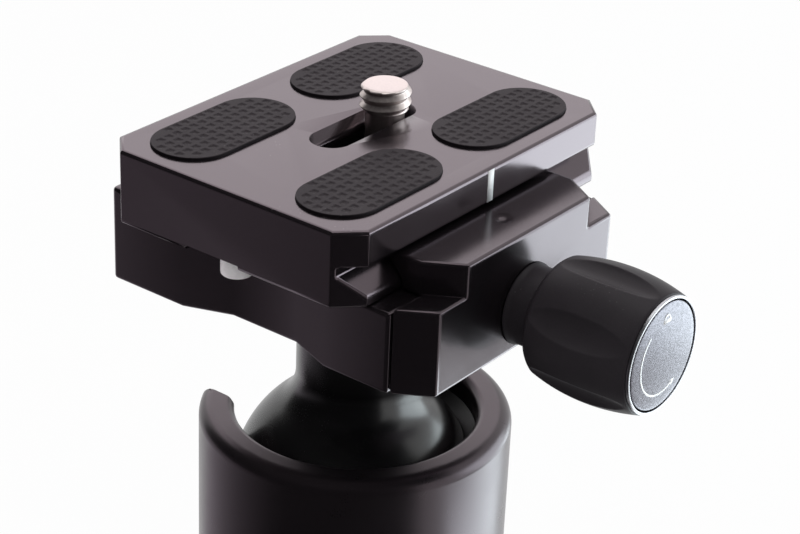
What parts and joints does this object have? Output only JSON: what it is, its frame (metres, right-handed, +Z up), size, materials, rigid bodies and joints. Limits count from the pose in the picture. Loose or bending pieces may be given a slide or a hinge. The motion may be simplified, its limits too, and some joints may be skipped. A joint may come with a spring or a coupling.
{
  "type": "tripod ball head",
  "caption": "Small ball head with a panning base, a locking ball with a drop notch, and a screw-knob dovetail clamp that holds a quick-release plate with a camera screw.",
  "frame": {"origin": "centre of the base's underside, at the mouth of the 3/8 inch tripod thread", "axes": "+Z up along the pan axis and the ball's stem at rest, +X towards the clamp knob and the pan lock knob, +Y along the dovetail; the ball lock knob is on -Y and the drop notch on -X"},
  "size_m": [0.0664, 0.0651, 0.1001],
  "materials": {
    "base_black": "satin",
    "body_black": "satin",
    "ball_black": "gloss",
    "clamp_black": "satin",
    "plate_black": "satin",
    "knob_black": "satin",
    "knob_rim": "polished",
    "knob_cap": "satin",
    "nickel": "polished",
    "steel": "satin",
    "brass": "satin",
    "ring_plastic": "matte",
    "slide_plastic": "matte",
    "pad_rubber": "matte"
  },
  "bodies": {
    "base": {"pan_base": "base_black", "base_thread_insert": "steel"},
    "housing": {"socket_body": "body_black", "upper_seat_ring": "ring_plastic", "lock_bush": "brass", "pan_thrust_washer": "slide_plastic", "pan_retaining_screws": "steel"},
    "pan_lock_pad": {"pan_lock_pad": "brass"},
    "pan_lock_knob": {"pan_lock_screw": "steel", "pan_lock_knob": "knob_black", "pan_lock_knob_cap": "knob_cap"},
    "lock_plunger": {"lock_plunger": "steel"},
    "pressure_cup": {"pressure_cup": "brass"},
    "lock_knob": {"lock_screw": "steel", "lock_knob": "knob_black", "lock_knob_rim": "knob_rim", "lock_knob_cap": "knob_cap"},
    "ball_liner": {"ball_liner": "slide_plastic"},
    "ball": {"ball_and_stem": "ball_black"},
    "clamp": {"clamp_body": "clamp_black", "clamp_bolt": "steel", "jaw_springs": "steel"},
    "jaw": {"clamp_jaw": "clamp_black", "jaw_guide_pins": "steel"},
    "clamp_knob": {"clamp_screw": "steel", "clamp_knob_collar": "knob_black", "clamp_knob": "knob_black", "clamp_knob_rim": "knob_rim", "clamp_knob_cap": "knob_cap"},
    "plate": {"plate_body": "plate_black", "plate_pads": "pad_rubber", "stop_screws": "nickel"},
    "screw_washer": {"camera_screw_washer": "slide_plastic"},
    "camera_screw": {"camera_screw": "nickel"}
  },
  "joints": [
    {"name": "pan", "type": "hinge", "parent": "base", "child": "housing", "pos_m": [0, 0, 0.012], "axis": [0, 0, 1], "continuous": true},
    {"name": "ball_tilt_side", "type": "hinge", "parent": "housing", "child": "ball_liner", "pos_m": [0, 0, 0.0464], "axis": [1, 0, 0], "range_deg": [-20, 20]},
    {"name": "ball_tilt_drop", "type": "hinge", "parent": "ball_liner", "child": "ball", "pos_m": [0, 0, 0.0464], "axis": [0, -1, 0], "range_deg": [-20, 90]},
    {"name": "ball_swivel", "type": "hinge", "parent": "ball", "child": "clamp", "pos_m": [0, 0, 0.0763], "axis": [0, 0, 1], "continuous": true},
    {"name": "clamp_knob_turn", "type": "hinge", "parent": "jaw", "child": "clamp_knob", "pos_m": [0.03, 0, 0.0816], "axis": [1, 0, 0], "range_deg": [0, 720]},
    {"name": "jaw_slide", "type": "slide", "parent": "clamp", "child": "jaw", "axis": [1, 0, 0], "range_m": [0, 0.0025]},
    {"name": "plate_slide", "type": "slide", "parent": "clamp", "child": "plate", "axis": [0, 1, 0], "range_m": [-0.00405, 0.00105]},
    {"name": "camera_screw_slide", "type": "slide", "parent": "plate", "child": "screw_washer", "axis": [0, 1, 0], "range_m": [-0.01025, 0.00185]},
    {"name": "camera_screw_turn", "type": "hinge", "parent": "screw_washer", "child": "camera_screw", "pos_m": [-0.0015, 0.0057, 0.093], "axis": [0, 0, 1], "continuous": true},
    {"name": "lock_knob_turn", "type": "hinge", "parent": "lock_plunger", "child": "lock_knob", "pos_m": [0, -0.02, 0.0236], "axis": [0, -1, 0], "range_deg": [0, 450]},
    {"name": "lock_plunger_slide", "type": "slide", "parent": "housing", "child": "lock_plunger", "axis": [0, -1, 0], "range_m": [0, 0.00125]},
    {"name": "cup_lift", "type": "slide", "parent": "housing", "child": "pressure_cup", "axis": [0, 0, 1], "range_m": [-0.000335, 0]},
    {"name": "pan_lock_turn", "type": "hinge", "parent": "pan_lock_pad", "child": "pan_lock_knob", "pos_m": [0.02, 0, 0.0114], "axis": [1, 0, 0], "range_deg": [0, 180]},
    {"name": "pan_lock_pad_slide", "type": "slide", "parent": "housing", "child": "pan_lock_pad", "axis": [1, 0, 0], "range_m": [0, 0.0004]}
  ],
  "couplings": [
    {"joint": "clamp_knob_turn", "follows": "jaw_slide", "rad_per_m": 5026.5},
    {"joint": "lock_knob_turn", "follows": "lock_plunger_slide", "rad_per_m": 6283.2},
    {"joint": "cup_lift", "follows": "lock_plunger_slide", "ratio": -0.26795},
    {"joint": "pan_lock_turn", "follows": "pan_lock_pad_slide", "rad_per_m": 7854}
  ]
}
